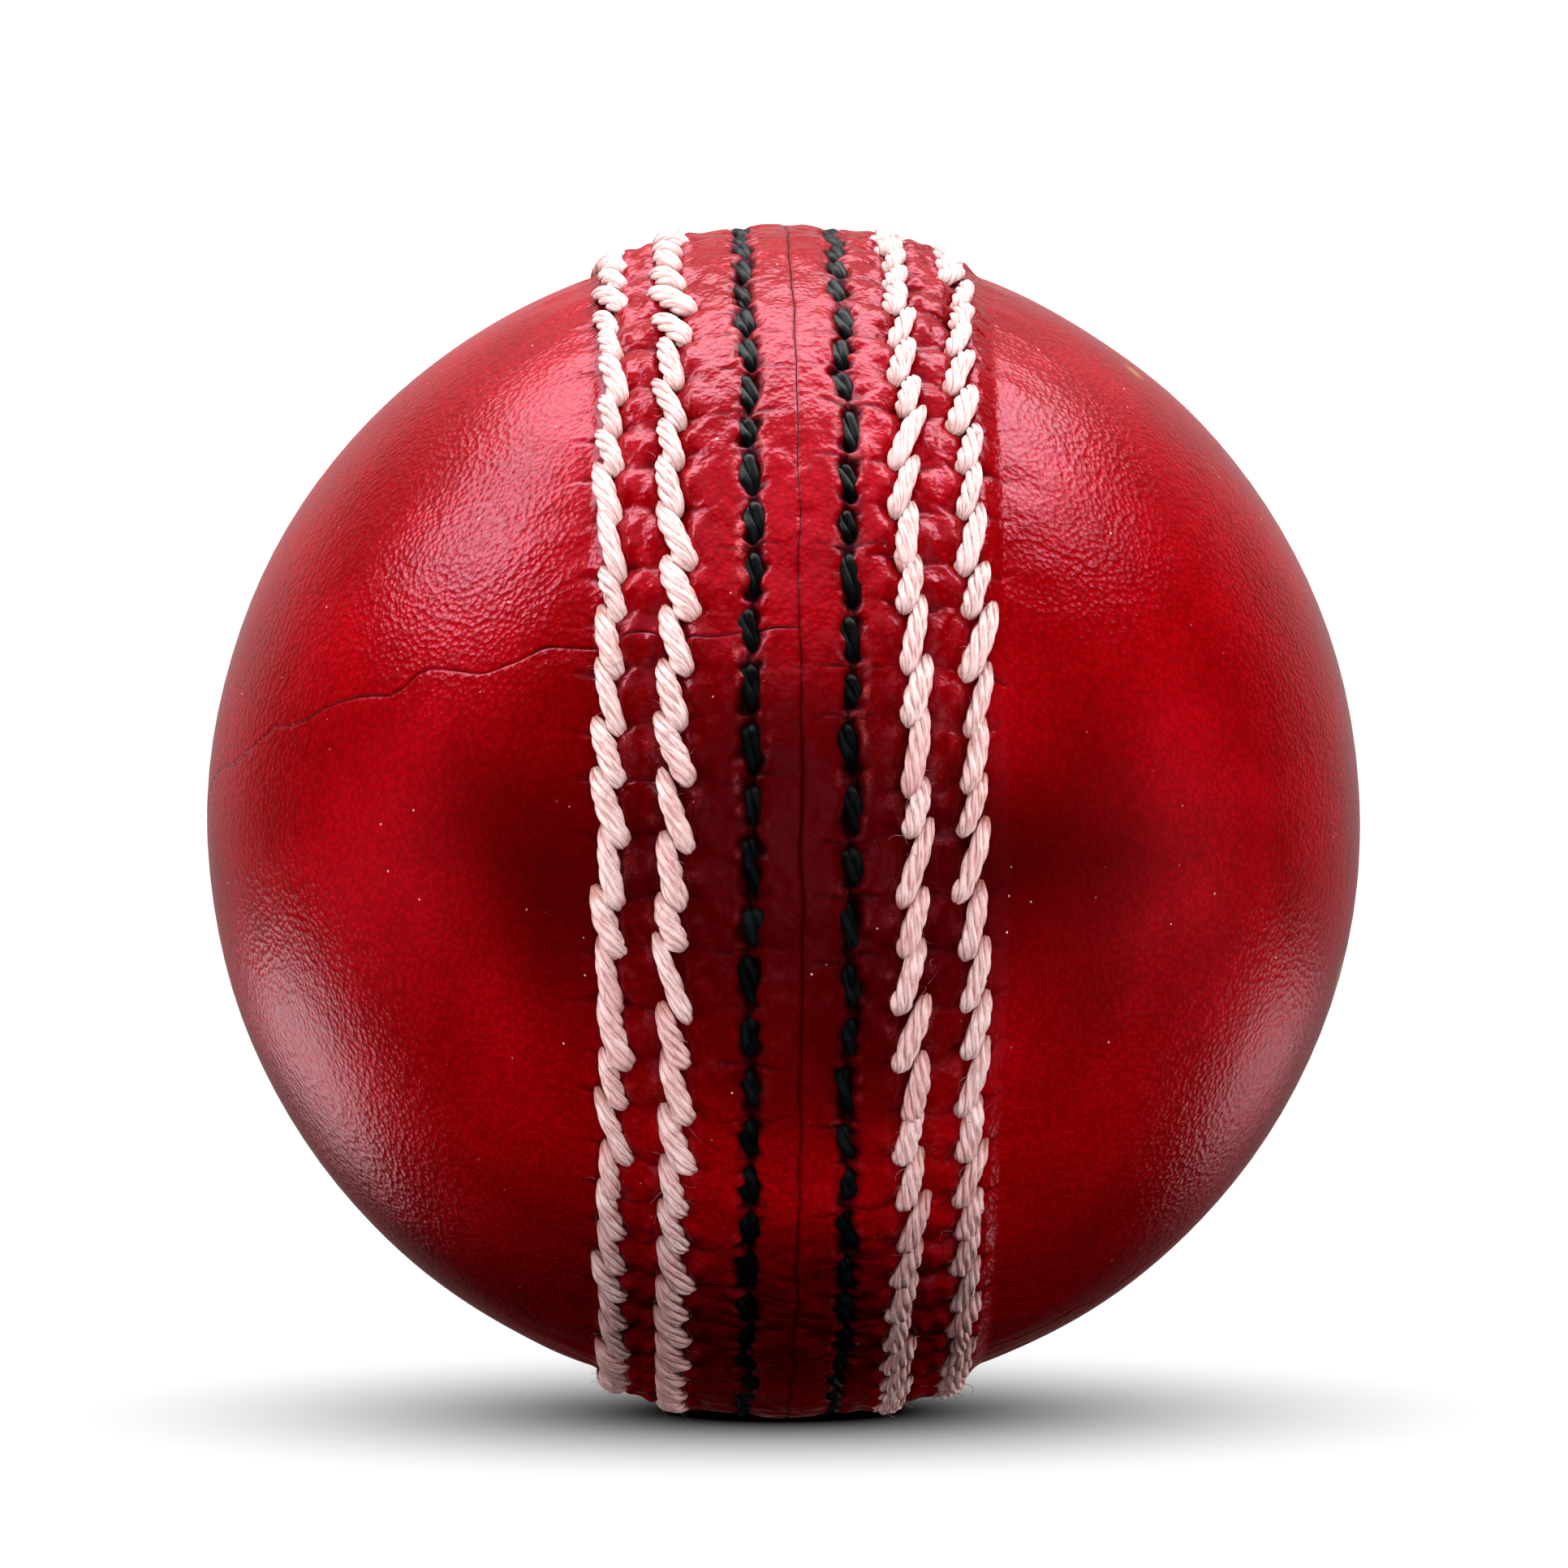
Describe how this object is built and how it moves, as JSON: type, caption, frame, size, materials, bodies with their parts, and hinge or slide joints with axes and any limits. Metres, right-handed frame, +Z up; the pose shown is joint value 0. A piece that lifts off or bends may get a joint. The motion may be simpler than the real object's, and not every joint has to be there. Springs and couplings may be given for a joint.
{
  "type": "cricket ball",
  "caption": "Red leather cricket ball with a raised stitched seam round its middle, over a wound cork core.",
  "frame": {"origin": "centre of the ball", "axes": "+X along the seam's axis, from the left pole to the right one, square to the plane of the seam; +Z up; -Y to the front"},
  "size_m": [0.0708, 0.0732, 0.0732],
  "materials": {
    "nucleus": "moulded cork and rubber, matt",
    "cork": "pressed granulated cork",
    "yarn": "undyed worsted yarn, wound tight",
    "lining": "thin split leather, flesh side, matt",
    "cover": "dyed red, greased, polished and lacquered",
    "blind_thread": "waxed linen thread",
    "twine": "plied linen twine, tinted by the dye",
    "closing_thread": "dark plied thread, waxed"
  },
  "bodies": {
    "root": {"nucleus": "nucleus", "cork_cup_1_left": "cork", "cork_cup_1_right": "cork", "cork_cup_2_front": "cork", "cork_cup_2_back": "cork", "cork_cup_3_left": "cork", "cork_cup_3_right": "cork", "cork_cup_4_front": "cork", "cork_cup_4_back": "cork", "cork_cup_5_left": "cork", "cork_cup_5_right": "cork", "yarn_winding_1": "yarn", "yarn_winding_2": "yarn", "yarn_winding_3": "yarn", "yarn_winding_4": "yarn", "yarn_winding_5": "yarn", "lining_left": "lining", "lining_right": "lining", "cover_left_upper": "cover", "cover_left_lower": "cover", "cover_right_front": "cover", "cover_right_back": "cover", "blind_stitches_left": "blind_thread", "blind_stitches_right": "blind_thread", "twine_left_inner": "twine", "twine_left_outer": "twine", "twine_right_inner": "twine", "twine_right_outer": "twine", "closing_thread": "closing_thread"}
  },
  "joints": []
}
